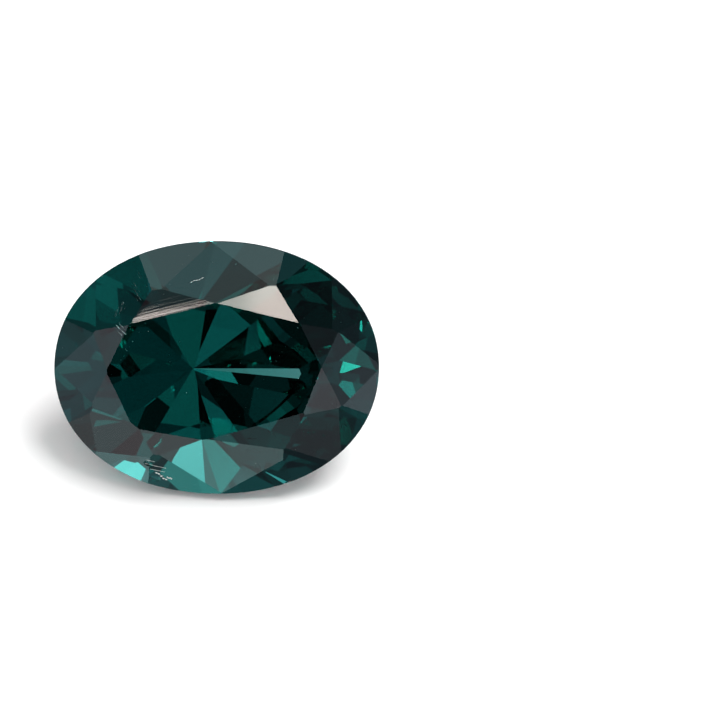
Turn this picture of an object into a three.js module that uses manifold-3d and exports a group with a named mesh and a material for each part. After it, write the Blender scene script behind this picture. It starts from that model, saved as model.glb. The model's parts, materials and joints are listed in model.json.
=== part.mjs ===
// An oval gemstone, cut and polished by hand from one piece of crystal. Millimetres, +Z up.
// The cutting diagram below is in the stone's own axes: X along the oval, Y across it and Z out of the
// table, with height 0 at the girdle's upper edge. The finished stone is then laid on the pavilion
// facet that it rests on, with the table facing up and towards -Y.

import * as THREE from 'three';
import { mergeVertices } from 'three/addons/utils/BufferGeometryUtils.js';
import Module from 'manifold-3d';

const wasm = await Module();
wasm.setup();

// Driving dimensions

const LENGTH = 9.0;
const WIDTH = 7.0;
const CROWN_HEIGHT = 1.14;
const GIRDLE_HEIGHT = 0.3;
const PAVILION_DEPTH = 3.47;
const CULET_X = -0.71;
const CULET_Y = -0.14;
const OVAL_POWER = 2.1; // 2 would be a true ellipse; this outline is slightly fuller
const OVAL_SIDES = 96;
const TRIM = 0.01; // how far the lower breaks cut in from the oval, so that each leaves a clean edge

const CUTTER_SIZE = 30; // a cutting box only has to be larger than the stone
const MERGE_DISTANCE = 1e-5;

// Crown facets: azimuth around the stone from +X, slope from the table, and how far from the axis the
// facet's plane meets height 0. They are slightly uneven, as a stone cut by hand is.

const STARS = [
  { azimuth: 26.5, slope: 23.5, reach: 5.3 },
  { azimuth: 76.5, slope: 21, reach: 4.81 },
  { azimuth: 103.5, slope: 22, reach: 4.64 },
  { azimuth: 153.5, slope: 22.5, reach: 5.45 },
  { azimuth: 205.5, slope: 21.5, reach: 5.62 },
  { azimuth: 260.5, slope: 21.5, reach: 4.84 },
  { azimuth: 285.5, slope: 21, reach: 4.74 },
  { azimuth: 338.5, slope: 22.5, reach: 5.45 },
];

const CROWN_MAINS = [
  { azimuth: 2, slope: 37, reach: 4.46 },
  { azimuth: 52.5, slope: 37.5, reach: 3.95 },
  { azimuth: 91.5, slope: 35, reach: 3.5 },
  { azimuth: 126.5, slope: 37, reach: 3.95 },
  { azimuth: 178, slope: 37, reach: 4.5 },
  { azimuth: 230.5, slope: 38.5, reach: 4.02 },
  { azimuth: 274.5, slope: 35, reach: 3.5 },
  { azimuth: 308.5, slope: 36.5, reach: 4 },
];

const UPPER_BREAKS = [
  { azimuth: 10.5, slope: 41.5, reach: 4.41 },
  { azimuth: 43, slope: 42, reach: 4.06 },
  { azimuth: 61, slope: 43, reach: 3.74 },
  { azimuth: 82.5, slope: 42, reach: 3.45 },
  { azimuth: 100.5, slope: 41, reach: 3.46 },
  { azimuth: 120.5, slope: 40.5, reach: 3.78 },
  { azimuth: 145, slope: 46, reach: 4.14 },
  { azimuth: 165, slope: 45, reach: 4.34 },
  { azimuth: 195, slope: 46, reach: 4.35 },
  { azimuth: 219.5, slope: 46, reach: 4.13 },
  { azimuth: 240, slope: 46.5, reach: 3.76 },
  { azimuth: 263, slope: 44, reach: 3.45 },
  { azimuth: 278.5, slope: 39.5, reach: 3.48 },
  { azimuth: 300, slope: 39.5, reach: 3.83 },
  { azimuth: 322.5, slope: 43, reach: 4.18 },
  { azimuth: 351, slope: 43, reach: 4.42 },
];

// The pavilion's facets are set out evenly, but turned a little against the crown and not all at one slope,
// as on a stone cut by hand. The eight mains meet at the culet, and two lower breaks lie between each main
// and the next. Slopes are told from that of a facet that runs from the culet to the girdle's lower edge:
// a main is flatter by its ease, and a lower break is steeper. All are in degrees. Right is towards +X and
// front is towards -Y, where the finished stone's table faces.

const PAVILION_TURN = -4;
const DIAGONAL_AZIMUTH = 43;
const LEFT_END_EASE = 2.75;
const RIGHT_END_EASE = 4;
const SIDE_EASE = 0.5;
const LEFT_END_STEEPER = 2.75;
const RIGHT_END_STEEPER = 5;
const FRONT_SIDE_STEEPER = 4.25;
const BACK_SIDE_STEEPER = -0.25;

// How far along the way from one main to the next a lower break lies, beside the oval's ends and its sides
const END_SHARE = 0.17;
const SIDE_SHARE = 0.28;

const PAVILION_MAINS = [
  { azimuth: 0, ease: RIGHT_END_EASE },
  { azimuth: DIAGONAL_AZIMUTH, ease: 0 },
  { azimuth: 90, ease: SIDE_EASE },
  { azimuth: 180 - DIAGONAL_AZIMUTH, ease: 0 },
  { azimuth: 180, ease: LEFT_END_EASE },
  { azimuth: 180 + DIAGONAL_AZIMUTH, ease: 0 },
  { azimuth: 270, ease: SIDE_EASE },
  { azimuth: 360 - DIAGONAL_AZIMUTH, ease: 0 },
];

const REST_MAIN = PAVILION_MAINS[6];

// Small chips knocked out of the crown near its edge: the facet that each lies on, its place as seen from
// above, its length, width and depth, and how far it is turned from along the girdle

const CHIPS = [
  { facet: UPPER_BREAKS[10], x: -1.88, y: -2.63, size: [0.34, 0.2, 0.09], turn: 12 },
  { facet: UPPER_BREAKS[10], x: -1.58, y: -2.8, size: [0.42, 0.2, 0.07], turn: -18 },
  { facet: UPPER_BREAKS[10], x: -1.64, y: -3.13, size: [0.6, 0.3, 0.12], turn: 10 },
  { facet: UPPER_BREAKS[13], x: 1.95, y: -3.2, size: [0.34, 0.1, 0.06], turn: 0 },
];

const UP = new THREE.Vector3(0, 0, 1);
const CULET = new THREE.Vector3(CULET_X, CULET_Y, -GIRDLE_HEIGHT - PAVILION_DEPTH);

// Solids

function toSolid(geometry) {
  geometry.deleteAttribute('normal');
  geometry.deleteAttribute('uv');
  const merged = mergeVertices(geometry, MERGE_DISTANCE);
  const mesh = new wasm.Mesh({
    numProp: 3,
    vertProperties: new Float32Array(merged.attributes.position.array),
    triVerts: new Uint32Array(merged.index.array),
  });
  return new wasm.Manifold(mesh);
}

function toGeometry(solid) {
  const { vertProperties, triVerts } = solid.getMesh();
  const geometry = new THREE.BufferGeometry();
  geometry.setAttribute('position', new THREE.BufferAttribute(vertProperties, 3));
  geometry.setIndex(new THREE.BufferAttribute(triVerts, 1));
  return geometry;
}

// The oval outline

function ovalPoint(turn) {
  const power = 2 / OVAL_POWER;
  const cos = Math.cos(turn);
  const sin = Math.sin(turn);
  const x = (LENGTH / 2) * Math.sign(cos) * Math.abs(cos) ** power;
  const y = (WIDTH / 2) * Math.sign(sin) * Math.abs(sin) ** power;
  return new THREE.Vector2(x, y);
}

function ovalOutline() {
  const points = [];
  for (let i = 0; i < OVAL_SIDES; i += 1) {
    points.push(ovalPoint((2 * Math.PI * (i + 0.5)) / OVAL_SIDES));
  }
  return points;
}

// How far the oval reaches from the axis towards an azimuth: the place of a tangent at right angles to it
function ovalReach(azimuth) {
  const towards = new THREE.Vector2(1, 0).rotateAround(new THREE.Vector2(), THREE.MathUtils.degToRad(azimuth));
  return Math.max(...ovalOutline().map((point) => point.dot(towards)));
}

// The blank is a plain oval cylinder, as tall as the finished stone
function ovalBlank() {
  const shape = new THREE.Shape(ovalOutline());
  const height = CROWN_HEIGHT - CULET.z;
  const geometry = new THREE.ExtrudeGeometry(shape, { depth: height, bevelEnabled: false });
  geometry.translate(0, 0, CULET.z);
  return toSolid(geometry);
}

// Facet planes

function facetNormal(azimuth, slope, side) {
  const around = THREE.MathUtils.degToRad(azimuth);
  const lean = THREE.MathUtils.degToRad(slope);
  const flat = Math.sin(lean);
  return new THREE.Vector3(Math.cos(around) * flat, Math.sin(around) * flat, side * Math.cos(lean));
}

function edgePoint(azimuth, reach, height) {
  const around = THREE.MathUtils.degToRad(azimuth);
  return new THREE.Vector3(Math.cos(around) * reach, Math.sin(around) * reach, height);
}

function crownFacet({ azimuth, slope, reach }) {
  return { normal: facetNormal(azimuth, slope, 1), point: edgePoint(azimuth, reach, 0) };
}

// The slope at which a facet joins the culet to the girdle's lower edge
function slopeToGirdle(azimuth) {
  const edge = edgePoint(azimuth, ovalReach(azimuth), -GIRDLE_HEIGHT);
  const outward = edgePoint(azimuth, 1, 0);
  const run = edge.clone().sub(CULET).dot(outward);
  return THREE.MathUtils.radToDeg(Math.atan2(PAVILION_DEPTH, run));
}

function pavilionMain({ azimuth, ease }) {
  const turned = azimuth + PAVILION_TURN;
  return { normal: facetNormal(turned, slopeToGirdle(turned) - ease, -1), point: CULET };
}

// How much steeper a lower break is changes smoothly from the oval's ends to its sides
function breakSteeper(azimuth) {
  const towardsEnd = Math.cos(THREE.MathUtils.degToRad(azimuth));
  const towardsSide = Math.sin(THREE.MathUtils.degToRad(azimuth));
  const end = towardsEnd > 0 ? RIGHT_END_STEEPER : LEFT_END_STEEPER;
  const side = towardsSide > 0 ? BACK_SIDE_STEEPER : FRONT_SIDE_STEEPER;
  return end * towardsEnd ** 2 + side * towardsSide ** 2;
}

function lowerBreak(azimuth) {
  const turned = azimuth + PAVILION_TURN;
  const slope = slopeToGirdle(turned) + breakSteeper(azimuth);
  const point = edgePoint(turned, ovalReach(turned) - TRIM, -GIRDLE_HEIGHT);
  return { normal: facetNormal(turned, slope, -1), point };
}

function lowerBreaks() {
  return PAVILION_MAINS.flatMap(({ azimuth }, i) => {
    const next = i + 1 < PAVILION_MAINS.length ? PAVILION_MAINS[i + 1].azimuth : 360;
    const besideEnd = azimuth % 180 === 0 || next % 180 === 0;
    const step = (next - azimuth) * (besideEnd ? END_SHARE : SIDE_SHARE);
    return [lowerBreak(azimuth + step), lowerBreak(next - step)];
  });
}

// Grinding a facet takes away all that stands proud of its plane
function cutter({ normal, point }) {
  const geometry = new THREE.BoxGeometry(CUTTER_SIZE, CUTTER_SIZE, CUTTER_SIZE);
  geometry.translate(0, 0, CUTTER_SIZE / 2);
  geometry.applyQuaternion(new THREE.Quaternion().setFromUnitVectors(UP, normal));
  geometry.translate(point.x, point.y, point.z);
  return toSolid(geometry);
}

// A chip is a small lump of a scar, pressed into its facet and centred on the facet's plane
function chip({ facet, x, y, size, turn }) {
  const { normal, point } = crownFacet(facet);
  const height = point.z - ((x - point.x) * normal.x + (y - point.y) * normal.y) / normal.z;
  const [length, width, depth] = size;
  const geometry = new THREE.IcosahedronGeometry(1, 0);
  geometry.scale(length / 2, width / 2, depth);
  geometry.rotateZ(THREE.MathUtils.degToRad(facet.azimuth + 90 + turn));
  geometry.applyQuaternion(new THREE.Quaternion().setFromUnitVectors(UP, normal));
  geometry.translate(x, y, height);
  return toSolid(geometry);
}

function cutStone() {
  const facets = [
    ...STARS.map(crownFacet),
    ...CROWN_MAINS.map(crownFacet),
    ...UPPER_BREAKS.map(crownFacet),
    ...PAVILION_MAINS.map(pavilionMain),
    ...lowerBreaks(),
  ];
  const cut = facets.reduce((stone, facet) => stone.subtract(cutter(facet)), ovalBlank());
  return CHIPS.reduce((stone, scar) => stone.subtract(chip(scar)), cut);
}

// The crystal's colour in white light: a deep bluish green
function crystalMaterial() {
  return new THREE.MeshStandardMaterial({ name: 'crystal', color: 0x08695d, roughness: 0.05, metalness: 0 });
}

function gemstone() {
  const mesh = new THREE.Mesh(toGeometry(cutStone()), crystalMaterial());
  mesh.name = 'gemstone';
  return mesh;
}

// Lays the stone on one pavilion main, with its box centred over the origin
function laidDown(mesh) {
  mesh.quaternion.setFromUnitVectors(pavilionMain(REST_MAIN).normal, UP.clone().negate());
  const group = new THREE.Group();
  group.add(mesh);
  const box = new THREE.Box3().setFromObject(group, true);
  const centre = box.getCenter(new THREE.Vector3());
  mesh.position.set(-centre.x, -centre.y, -box.min.z);
  return group;
}

export default laidDown(gemstone());
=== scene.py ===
"""An oval cut gemstone in deep bluish green, lying on one pavilion facet on a white surface."""

import json
import math

import bpy
from mathutils import Matrix, Vector


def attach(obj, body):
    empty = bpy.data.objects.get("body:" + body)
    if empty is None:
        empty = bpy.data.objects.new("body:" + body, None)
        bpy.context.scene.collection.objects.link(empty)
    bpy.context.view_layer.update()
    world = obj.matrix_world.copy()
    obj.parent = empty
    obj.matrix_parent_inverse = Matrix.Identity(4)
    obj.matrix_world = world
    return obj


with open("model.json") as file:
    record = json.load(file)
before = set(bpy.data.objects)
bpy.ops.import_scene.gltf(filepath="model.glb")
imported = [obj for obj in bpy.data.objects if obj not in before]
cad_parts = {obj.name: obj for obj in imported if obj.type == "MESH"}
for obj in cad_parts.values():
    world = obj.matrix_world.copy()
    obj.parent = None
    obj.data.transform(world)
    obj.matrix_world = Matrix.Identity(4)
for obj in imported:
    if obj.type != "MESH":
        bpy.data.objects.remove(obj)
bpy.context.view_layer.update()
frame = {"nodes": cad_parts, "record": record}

MM = 0.001

# How high the table lies above the girdle's upper edge, in millimetres. The stone's own axes start from the
# middle of that edge: X runs along the oval, Y across it and Z out of the table.
CROWN_HEIGHT = 1.14

# The photograph's frame: pixels across, pixels to a millimetre, and the pixel of the stone's origin
PHOTO_SIZE = 720
PHOTO_SCALE = 36.1
STONE_PIXEL = (216.5, 367.9)

# The camera leans from the table's normal towards the stone's X and Y by these tangents
VIEW_LEAN = (0.025, 0.0755)
CAMERA_DISTANCE = 400.0
SENSOR_WIDTH = 36.0
CLIP_START = 0.001
CLIP_END = 10.0

stone = frame["nodes"]["gemstone"]


def table_axis():
    """The table's outward normal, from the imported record."""
    mount = next(m for m in frame["record"]["mounts"] if m["name"] == "table")
    return Vector(mount["axis"]).normalized()


# The stone was turned from upright by the shortest way, so the table's normal gives all three of its axes
AXIS_Z = table_axis()
AXES = Vector((0, 0, 1)).rotation_difference(AXIS_Z).to_matrix()
AXIS_X = AXES @ Vector((1, 0, 0))
AXIS_Y = AXES @ Vector((0, 1, 0))


def stone_origin():
    """The middle of the oval at the girdle's upper edge, in metres, measured on the CAD node."""
    corners = [stone.matrix_world @ v.co for v in stone.data.vertices]
    middle = []
    for axis in (AXIS_X, AXIS_Y):
        reach = [c.dot(axis) for c in corners]
        middle.append((min(reach) + max(reach)) / 2)
    table = max(c.dot(AXIS_Z) for c in corners)
    return AXES @ Vector((middle[0], middle[1], table - CROWN_HEIGHT * MM))


ORIGIN = stone_origin()


def direction(x, y, z=1.0):
    """A direction given in the stone's axes, as a unit vector in the scene."""
    return (AXES @ Vector((x, y, z))).normalized()


def place(x, y, z):
    """A point given in millimetres in the stone's axes, in metres in the scene."""
    return ORIGIN + AXES @ Vector((x, y, z)) * MM


def node_tree(owner):
    """The owner's node tree, emptied."""
    owner.use_nodes = True
    tree = owner.node_tree
    tree.nodes.clear()
    return tree


def add_node(tree, kind, inputs=None, **settings):
    node = tree.nodes.new(kind)
    for key, value in settings.items():
        setattr(node, key, value)
    for key, value in (inputs or {}).items():
        if isinstance(value, bpy.types.NodeSocket):
            tree.links.new(value, node.inputs[key])
        else:
            node.inputs[key].default_value = value
    return node


def number_math(tree, operation, *values):
    return add_node(tree, "ShaderNodeMath", dict(enumerate(values)), operation=operation).outputs[0]


def vector_math(tree, operation, *values):
    return add_node(tree, "ShaderNodeVectorMath", dict(enumerate(values)), operation=operation)


# The sockets of a colour mix: the share of the second colour, the two colours, and what comes out
MIX_SHARE, MIX_FIRST, MIX_SECOND, MIX_RESULT = 0, 6, 7, 2


def mix_colours(tree, share, first, second, **settings):
    inputs = {MIX_SHARE: share, MIX_FIRST: first, MIX_SECOND: second}
    return add_node(tree, "ShaderNodeMix", inputs, data_type="RGBA", **settings).outputs[MIX_RESULT]


def set_camera():
    camera = bpy.data.objects.new("camera", bpy.data.cameras.new("camera"))
    bpy.context.collection.objects.link(camera)
    field = PHOTO_SIZE / PHOTO_SCALE
    camera.data.sensor_width = SENSOR_WIDTH
    camera.data.lens = SENSOR_WIDTH * CAMERA_DISTANCE / field
    camera.data.clip_start = CLIP_START
    camera.data.clip_end = CLIP_END
    back = direction(VIEW_LEAN[0], VIEW_LEAN[1])
    right = AXIS_Y.cross(back).normalized()
    up = back.cross(right)
    aim = ORIGIN.copy()
    aim += right * (PHOTO_SIZE / 2 - STONE_PIXEL[0]) / PHOTO_SCALE * MM
    aim -= up * (PHOTO_SIZE / 2 - STONE_PIXEL[1]) / PHOTO_SCALE * MM
    turned = Matrix((right, up, back)).transposed().to_4x4()
    camera.matrix_world = Matrix.Translation(aim + back * CAMERA_DISTANCE * MM) @ turned
    bpy.context.scene.camera = camera


# The studio around the stone is dark, with soft lamps and walls whose light adds up. Each is given by its
# direction in the stone's axes (azimuth from X, and tilt from the table's normal), half its width, how wide
# its soft edge is, all in degrees, and its light. Those beneath stand for the light floor around the stone.

SURROUND = (0.003, 0.003, 0.003)


def lamp(azimuth, tilt, half, edge, light):
    return {"azimuth": azimuth, "tilt": tilt, "half": half, "edge": edge, "light": light}


# The edges of the window pane and of the lamp strip are hard, and each crosses what a star facet mirrors: the
# strip lights the left one beside the table alone, and the pane shades the right one
LIGHTS = {
    "window": lamp(78, 37, 6, 4, (4.9, 4.4, 4.0)),
    "window pane": lamp(73.19, 38.35, 3, 0.14, (3.0, 2.7, 2.5)),
    "lamp strip": lamp(108.84, 37.61, 3, 0.05, (8.5, 7.4, 6.8)),
    "back right": lamp(75, 76, 9, 6, (0.6, 0.6, 0.6)),
    "back lamp": lamp(81, 70, 5, 3, (1.3, 1.2, 1.25)),
    "back middle": lamp(92, 66, 6, 4, (0.4, 0.32, 0.32)),
    "back wall": lamp(91, 84, 9, 6, (0.4, 0.45, 0.45)),
    "back left": lamp(102, 79, 6, 4, (0.55, 0.34, 0.32)),
    "back glow": lamp(100, 30, 14, 8, (0.18, 0.12, 0.15)),
    "low back right": lamp(45, 98, 8, 6, (1.8, 1.7, 1.7)),
    "back right, beneath": lamp(45, 125, 26, 16, (0.1, 0.24, 0.26)),
    "left back lamp": lamp(126, 63, 6, 4, (1.6, 1.3, 1.4)),
    "left back": lamp(154, 67, 6, 4, (0.2, 0.19, 0.19)),
    "left low": lamp(126, 103, 50, 36, (0.03, 0.11, 0.12)),
    "left high": lamp(158, 41, 6, 4, (0.6, 0.57, 0.65)),
    "left top": lamp(166, 25, 13, 8, (0.5, 0.38, 0.42)),
    "left wall": lamp(185, 90, 13, 8, (0.9, 1.15, 1.35)),
    "left lamp": lamp(192, 36, 9, 6, (1.5, 0.95, 1.0)),
    "left, beneath": lamp(184, 145, 7, 4, (0.4, 0.38, 0.39)),
    "left front high": lamp(207, 50, 6, 4, (0.4, 0.48, 0.55)),
    "left front": lamp(225, 84, 13, 8, (0.4, 0.48, 0.5)),
    "left front wall": lamp(231, 72, 35, 24, (0.24, 0.12, 0.14)),
    "left front low": lamp(240, 99, 8, 6, (0.6, 1.1, 1.1)),
    "front, beneath": lamp(260, 122, 13, 8, (40.0, 21.0, 23.0)),
    "front high": lamp(264, 49, 7, 4, (0.35, 0.5, 0.5)),
    "front level": lamp(271, 75, 5, 3, (0.6, 0.7, 0.7)),
    "front wall": lamp(271, 38, 26, 16, (0.22, 0.15, 0.17)),
    "front right": lamp(307, 76, 6, 4, (0.18, 0.17, 0.18)),
    "front right high": lamp(306, 40, 6, 4, (0.2, 0.19, 0.19)),
    "right front high": lamp(330, 46, 8, 5, (0.6, 0.55, 0.6)),
    "right wall": lamp(336, 103, 75, 50, (0.08, 0.15, 0.18)),
    "right level": lamp(354, 82, 9, 6, (0.7, 0.8, 0.9)),
    "right high": lamp(8, 24, 8, 5, (0.3, 0.3, 0.3)),
    "right top": lamp(340, 12, 4, 2, (0.7, 0.66, 0.68)),
    "right back": lamp(58, 64, 6, 4, (0.35, 0.15, 0.18)),
    "right back low": lamp(33, 71, 6, 4, (0.4, 0.38, 0.39)),
    "high right": lamp(50, 36, 18, 12, (0.1, 0.09, 0.1)),
    "over right": lamp(55, 18, 4, 3, (1.5, 1.4, 1.45)),
}


def towards_light(light):
    around = math.radians(light["azimuth"])
    tilt = math.radians(light["tilt"])
    flat = math.sin(tilt)
    return direction(math.cos(around) * flat, math.sin(around) * flat, math.cos(tilt))


# What the floor gets from all around, beside the key light
FLOOR_FILL = 0.78

# The background that the camera sees
BACKGROUND = 1.0


def add_lamp(tree, towards, colour, light):
    """The surround's colour with one lamp's disc added to it."""
    facing = vector_math(tree, "DOT_PRODUCT", towards, towards_light(light)).outputs["Value"]
    outer = math.cos(math.radians(light["half"] + light["edge"] / 2))
    inner = math.cos(math.radians(light["half"] - light["edge"] / 2))
    disc = {"Value": facing, "From Min": outer, "From Max": inner}
    amount = add_node(tree, "ShaderNodeMapRange", disc, interpolation_type="SMOOTHSTEP").outputs[0]
    shine = (*light["light"], 1)
    return mix_colours(tree, amount, colour, shine, blend_type="ADD")


def set_world():
    world = bpy.data.worlds.new("studio")
    bpy.context.scene.world = world
    tree = node_tree(world)
    towards = add_node(tree, "ShaderNodeTexCoord").outputs["Generated"]
    colour = add_node(tree, "ShaderNodeRGB").outputs[0]
    colour.default_value = (*SURROUND, 1)
    for light in LIGHTS.values():
        colour = add_lamp(tree, towards, colour, light)
    path = add_node(tree, "ShaderNodeLightPath")
    for ray, level in (("Is Diffuse Ray", FLOOR_FILL), ("Is Camera Ray", BACKGROUND)):
        colour = mix_colours(tree, path.outputs[ray], colour, (level, level, level, 1))
    shine = add_node(tree, "ShaderNodeBackground", {"Color": colour, "Strength": 1.0})
    add_node(tree, "ShaderNodeOutputWorld", {"Surface": shine.outputs[0]})


FLOOR_SIZE = 2.0
FLOOR_COLOUR = (0.92, 0.92, 0.92, 1)

# The key light is soft and stands to the right, behind the stone, so the shadow falls to the left
KEY_FROM = (0.38, 0.20, 0.90)
KEY_STRENGTH = 2.8
KEY_ANGLE = 38.0


def set_key_light():
    """It lights the floor and the grains on the stone. The stone mirrors the surround's lamps alone."""
    key = bpy.data.objects.new("key light", bpy.data.lights.new("key light", "SUN"))
    bpy.context.collection.objects.link(key)
    key.data.energy = KEY_STRENGTH
    key.data.angle = math.radians(KEY_ANGLE)
    key.rotation_mode = "QUATERNION"
    key.rotation_quaternion = Vector(KEY_FROM).to_track_quat("Z", "Y")
    key.visible_glossy = False
    key.visible_transmission = False


def set_floor():
    """A plain white floor. The stone's own rays pass it by, as the surround stands for it there."""
    mesh = bpy.data.meshes.new("floor")
    half = FLOOR_SIZE / 2
    corners = [(-half, -half, 0), (half, -half, 0), (half, half, 0), (-half, half, 0)]
    mesh.from_pydata(corners, [], [(0, 1, 2, 3)])
    floor = bpy.data.objects.new("floor", mesh)
    bpy.context.collection.objects.link(floor)
    material = bpy.data.materials.new("floor")
    tree = node_tree(material)
    white = add_node(tree, "ShaderNodeBsdfDiffuse", {"Color": FLOOR_COLOUR})
    add_node(tree, "ShaderNodeOutputMaterial", {"Surface": white.outputs[0]})
    mesh.materials.append(material)
    floor.visible_glossy = False
    floor.visible_transmission = False


# The crystal takes this much light out of each millimetre, as an exponent, in red, green and blue. The
# density only has to be large enough for the colour that goes with it to lie between 0 and 1.
ABSORPTION = (0.57, 0.186, 0.203)
ABSORPTION_DENSITY = 600.0
CRYSTAL_IOR = 1.746


# Fine lines that the polishing wheel has left on each facet: how many to a millimetre, how much slower they
# change along than across, how deep they are in millimetres, and a lean that gives the table a direction too
POLISH_LINES = 16.0
POLISH_STRETCH = 0.02
POLISH_DEPTH = 0.000024
POLISH_DETAIL = 2.0
TABLE_LEAN = 0.02


def polish_lines(tree):
    """A bump whose lines run level along each facet, worked out from the facet's own normal."""
    geometry = add_node(tree, "ShaderNodeNewGeometry")
    here = geometry.outputs["Position"]
    facing = geometry.outputs["True Normal"]
    table = AXIS_Z + Vector((0, TABLE_LEAN, 0))
    along = vector_math(tree, "CROSS_PRODUCT", facing, table).outputs[0]
    along = vector_math(tree, "NORMALIZE", along).outputs[0]
    across = vector_math(tree, "CROSS_PRODUCT", facing, along).outputs[0]
    run = vector_math(tree, "DOT_PRODUCT", here, along).outputs["Value"]
    step = vector_math(tree, "DOT_PRODUCT", here, across).outputs["Value"]
    run = number_math(tree, "MULTIPLY", run, POLISH_STRETCH / MM)
    step = number_math(tree, "MULTIPLY", step, 1 / MM)
    spot = add_node(tree, "ShaderNodeCombineXYZ", {0: run, 1: step}).outputs[0]
    noise = {"Vector": spot, "Scale": POLISH_LINES, "Detail": POLISH_DETAIL}
    lines = add_node(tree, "ShaderNodeTexNoise", noise).outputs[0]
    bump = {"Height": lines, "Distance": POLISH_DEPTH * MM, "Strength": 1.0}
    return add_node(tree, "ShaderNodeBump", bump).outputs[0]


def crystal_material():
    material = bpy.data.materials.new("crystal")
    tree = node_tree(material)
    surface = add_node(
        tree,
        "ShaderNodeBsdfPrincipled",
        {
            "Base Color": (1, 1, 1, 1),
            "Roughness": 0.0,
            "IOR": CRYSTAL_IOR,
            "Transmission Weight": 1.0,
            "Normal": polish_lines(tree),
        },
    )
    kept = [1 - a / MM / ABSORPTION_DENSITY for a in ABSORPTION]
    inside = add_node(
        tree, "ShaderNodeVolumeAbsorption", {"Color": (*kept, 1), "Density": ABSORPTION_DENSITY}
    )
    add_node(
        tree, "ShaderNodeOutputMaterial", {"Surface": surface.outputs[0], "Volume": inside.outputs[0]}
    )
    return material


def dress_stone():
    stone.data.materials.clear()
    stone.data.materials.append(crystal_material())


# Inclusions and crumbs: small things in the crystal and on its broken edge. They are given in millimetres in
# the stone's axes, as seen from above the table. Their depth is how far they lie beneath the surface.


def needle(start, end, depth, width, bend):
    return {"from": start, "to": end, "depth": depth, "width": width, "bend": bend}


def cloud(start, end, depth, spread, count, size):
    return {"from": start, "to": end, "depth": depth, "spread": spread, "count": count, "size": size}


NEEDLES = [
    needle((-0.71, 2.40), (-0.34, 2.56), 0.0, 0.02, 0.02),
    needle((-1.69, -2.88), (-1.37, -3.08), 0.0, 0.05, 0.03),
    needle((-1.37, -2.99), (-1.23, -3.08), 0.0, 0.06, -0.02),
]

CLOUDS = [
    cloud((-2.76, 1.46), (-2.48, 1.80), 0.14, 0.10, 90, 0.011),
    cloud((-2.25, 2.34), (-2.09, 1.88), 0.14, 0.09, 90, 0.010),
    cloud((-2.15, 2.64), (-2.06, 2.48), 0.12, 0.05, 26, 0.009),
    cloud((-2.66, 1.26), (-2.54, 0.98), 0.10, 0.10, 80, 0.012),
    cloud((-1.93, -2.55), (-1.42, -2.88), 0.0, 0.13, 90, 0.012),
]

PINPOINTS = [
    (-0.79, -0.61), (-3.35, -1.82), (-3.26, -1.72), (-0.85, -3.31), (-4.25, 0.55), (-2.48, 0.6),
    (-1.85, 1.1), (-1.25, 0.25), (-0.98, 0.8), (3.38, -1.02), (3.22, -0.92), (3.45, 1.3),
    (3.4, 1.58), (-1.27, 0.44), (0.7, 0.22), (-1.9, 2.3), (0.55, 2.9), (1.6, 2.5),
    (-0.1, 2.95), (2.3, -0.2), (1.1, -2.6), (-0.4, -2.3), (2.2, -2.2),
]
PINPOINT_SIZE = 0.022
PINPOINT_DEPTH = 0.03
PINPOINT_STEP = 0.02

# Dust is spread over the whole stone and finer than the pinpoints by this share
DUST_COUNT = 60
DUST_REACH = (4.3, 3.3)
DUST_SHARE = 0.6

# A needle is drawn as a row of flakes that overlap, each turned and tilted a little
NEEDLE_FLAKES = 5
NEEDLE_OVERLAP = 0.75
NEEDLE_TURN = 0.2
NEEDLE_TILT = 0.3

# A grain's length, width and thickness as shares of its size, and how freely grains turn and vary in size
GRAIN_SHAPE = (1.0, 0.6, 0.2)
GRAIN_TURN = 1.4
GRAIN_VARIES = 0.5
GRAIN_DEPTH = 1.5

# From this height above the girdle a look straight down meets the stone's top
START_ABOVE = 3 * CROWN_HEIGHT

# The two steps of an even spread, and numbers that keep the things that are spread apart from each other
EVEN_STEPS = (0.754877, 0.569840)
NEEDLE_SALT = 3
ASIDE_SALTS = (1, 4)
DEPTH_SALT = 5
TURN_SALT = 9
SIZE_SALT = 13
DUST_SALTS = (17, 29)


def beneath(x, y, depth):
    """The point this far beneath the stone's top surface, seen straight down at x and y."""
    above = place(x, y, START_ABOVE)
    turn = stone.matrix_world.inverted()
    found, where, _, _ = stone.ray_cast(turn @ above, turn.to_3x3() @ -AXIS_Z)
    if not found:
        return None
    return stone.matrix_world @ where - AXIS_Z * depth * MM


def add_flake(points, faces, middle, along, across, half):
    """A pointed flake with six corners: half its length, width and thickness lie along its three axes."""
    first = len(points)
    thin = along.cross(across).normalized()
    for axis, reach in zip((along, across, thin), half):
        points.append(middle + axis * reach * MM)
        points.append(middle - axis * reach * MM)
    for a in (0, 1):
        for b in (2, 3):
            for c in (4, 5):
                corner = (a, b, c) if (a + b + c) % 2 == 0 else (a, c, b)
                faces.append([first + k for k in corner])


def scattered(index, salt):
    """An even-looking spread of numbers between -1 and 1."""
    return 2 * ((index * EVEN_STEPS[0] + salt * EVEN_STEPS[1]) % 1.0) - 1


def heading(line):
    """The direction of a line from above, as an angle."""
    (x0, y0), (x1, y1) = line["from"], line["to"]
    return math.atan2(y1 - y0, x1 - x0)


def along_line(line, share):
    """The point at this share of the way along a line, from above."""
    (x0, y0), (x1, y1) = line["from"], line["to"]
    return x0 + (x1 - x0) * share, y0 + (y1 - y0) * share


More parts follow.
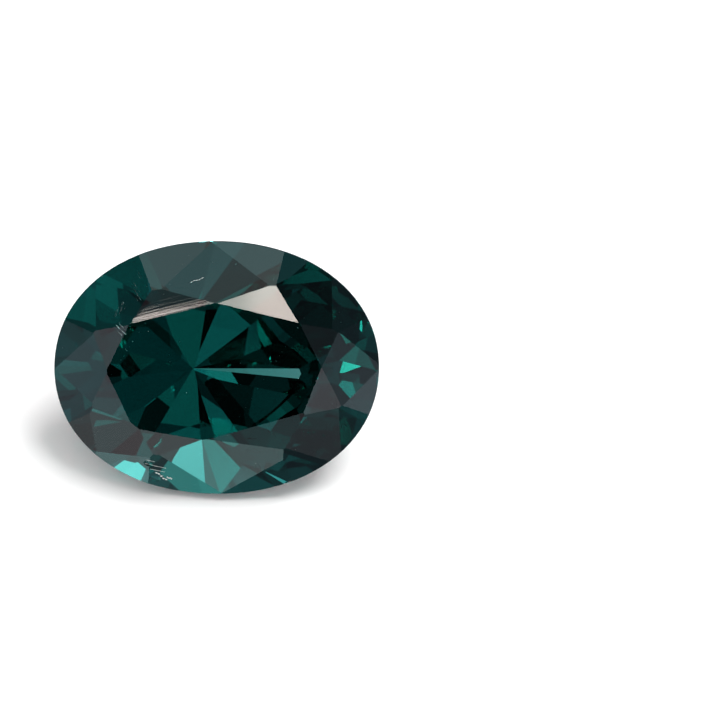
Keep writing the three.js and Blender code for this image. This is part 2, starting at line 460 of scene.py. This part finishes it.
def add_needle(points, faces, line):
    (x0, y0), (x1, y1) = line["from"], line["to"]
    length = math.hypot(x1 - x0, y1 - y0) / NEEDLE_FLAKES
    for i in range(NEEDLE_FLAKES):
        share = (i + 0.5) / NEEDLE_FLAKES
        x, y = along_line(line, share)
        sway = line["bend"] * math.sin(share * 2 * math.pi)
        middle = beneath(x, y + sway, line["depth"])
        turn = heading(line) + scattered(i, NEEDLE_SALT) * NEEDLE_TURN
        along = AXES @ Vector((math.cos(turn), math.sin(turn), 0))
        across = AXES @ Vector((-math.sin(turn), math.cos(turn), NEEDLE_TILT)).normalized()
        half = (length * NEEDLE_OVERLAP, line["width"] / 2, line["width"] / 4)
        add_flake(points, faces, middle, along, across, half)


def add_cloud(points, faces, line, salt):
    for i in range(line["count"]):
        x, y = along_line(line, (i + 0.5) / line["count"])
        turn = heading(line)
        near, far = (salt + own for own in ASIDE_SALTS)
        aside = (scattered(i, near) + scattered(3 * i, far)) / 2 * line["spread"]
        x -= math.sin(turn) * aside
        y += math.cos(turn) * aside
        middle = beneath(x, y, line["depth"] * (GRAIN_DEPTH + scattered(i, salt + DEPTH_SALT)))
        turn += scattered(i, salt + TURN_SALT) * GRAIN_TURN
        along = AXES @ Vector((math.cos(turn), math.sin(turn), 0))
        across = AXES @ Vector((-math.sin(turn), math.cos(turn), 0))
        size = line["size"] * (1 + GRAIN_VARIES * scattered(i, salt + SIZE_SALT))
        add_flake(points, faces, middle, along, across, [size * share for share in GRAIN_SHAPE])


def dust_places():
    first, second = DUST_SALTS
    reach_x, reach_y = DUST_REACH
    return [(scattered(i, first) * reach_x, scattered(2 * i, second) * reach_y) for i in range(DUST_COUNT)]


def add_pinpoints(points, faces):
    for i, (x, y) in enumerate(PINPOINTS + dust_places()):
        middle = beneath(x, y, PINPOINT_DEPTH + PINPOINT_STEP * (i % 3))
        if middle is None:
            continue
        size = PINPOINT_SIZE / 2 * (1 if i < len(PINPOINTS) else DUST_SHARE)
        add_flake(points, faces, middle, AXIS_X, AXIS_Y, (size, size, size))


def inclusion_shapes():
    points, faces = [], []
    for line in NEEDLES:
        add_needle(points, faces, line)
    for salt, line in enumerate(CLOUDS):
        add_cloud(points, faces, line, salt)
    add_pinpoints(points, faces)
    return points, faces


# The grains' noise to a millimetre, and the two shades that it mixes
GRAIN_NOISE = 9
GRAIN_SHADES = ((0.55, 0.6, 0.58, 1), (0.95, 0.97, 0.95, 1))
GRAIN_ROUGHNESS = 0.5


def inclusion_material():
    """Pale grains that scatter the light."""
    material = bpy.data.materials.new("inclusion")
    tree = node_tree(material)
    here = add_node(tree, "ShaderNodeTexCoord").outputs["Object"]
    cloudy = add_node(tree, "ShaderNodeTexNoise", {"Vector": here, "Scale": GRAIN_NOISE / MM}).outputs[0]
    shade = mix_colours(tree, cloudy, *GRAIN_SHADES)
    finish = {"Base Color": shade, "Roughness": GRAIN_ROUGHNESS}
    surface = add_node(tree, "ShaderNodeBsdfPrincipled", finish)
    add_node(tree, "ShaderNodeOutputMaterial", {"Surface": surface.outputs[0]})
    return material


def add_inclusions():
    points, faces = inclusion_shapes()
    mesh = bpy.data.meshes.new("inclusions")
    mesh.from_pydata(points, [], faces)
    mesh.materials.append(inclusion_material())
    piece = bpy.data.objects.new("inclusions", mesh)
    bpy.context.collection.objects.link(piece)
    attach(piece, "root")


# How often light may turn back inside the stone, on its way through it and on its faces, before it is lost
BOUNCES = 32
MIRROR_BOUNCES = 16


def set_renderer():
    """Light has to turn back many times inside the stone before it leaves."""
    scene = bpy.context.scene
    scene.view_settings.view_transform = "Standard"
    scene.view_settings.look = "None"
    scene.cycles.max_bounces = BOUNCES
    scene.cycles.transmission_bounces = BOUNCES
    scene.cycles.glossy_bounces = MIRROR_BOUNCES
    scene.cycles.transparent_max_bounces = MIRROR_BOUNCES
    scene.cycles.caustics_reflective = True
    scene.cycles.caustics_refractive = True
    scene.cycles.blur_glossy = 0.0
    scene.cycles.use_denoising = True


set_camera()
set_world()
set_floor()
set_key_light()
dress_stone()
add_inclusions()
set_renderer()
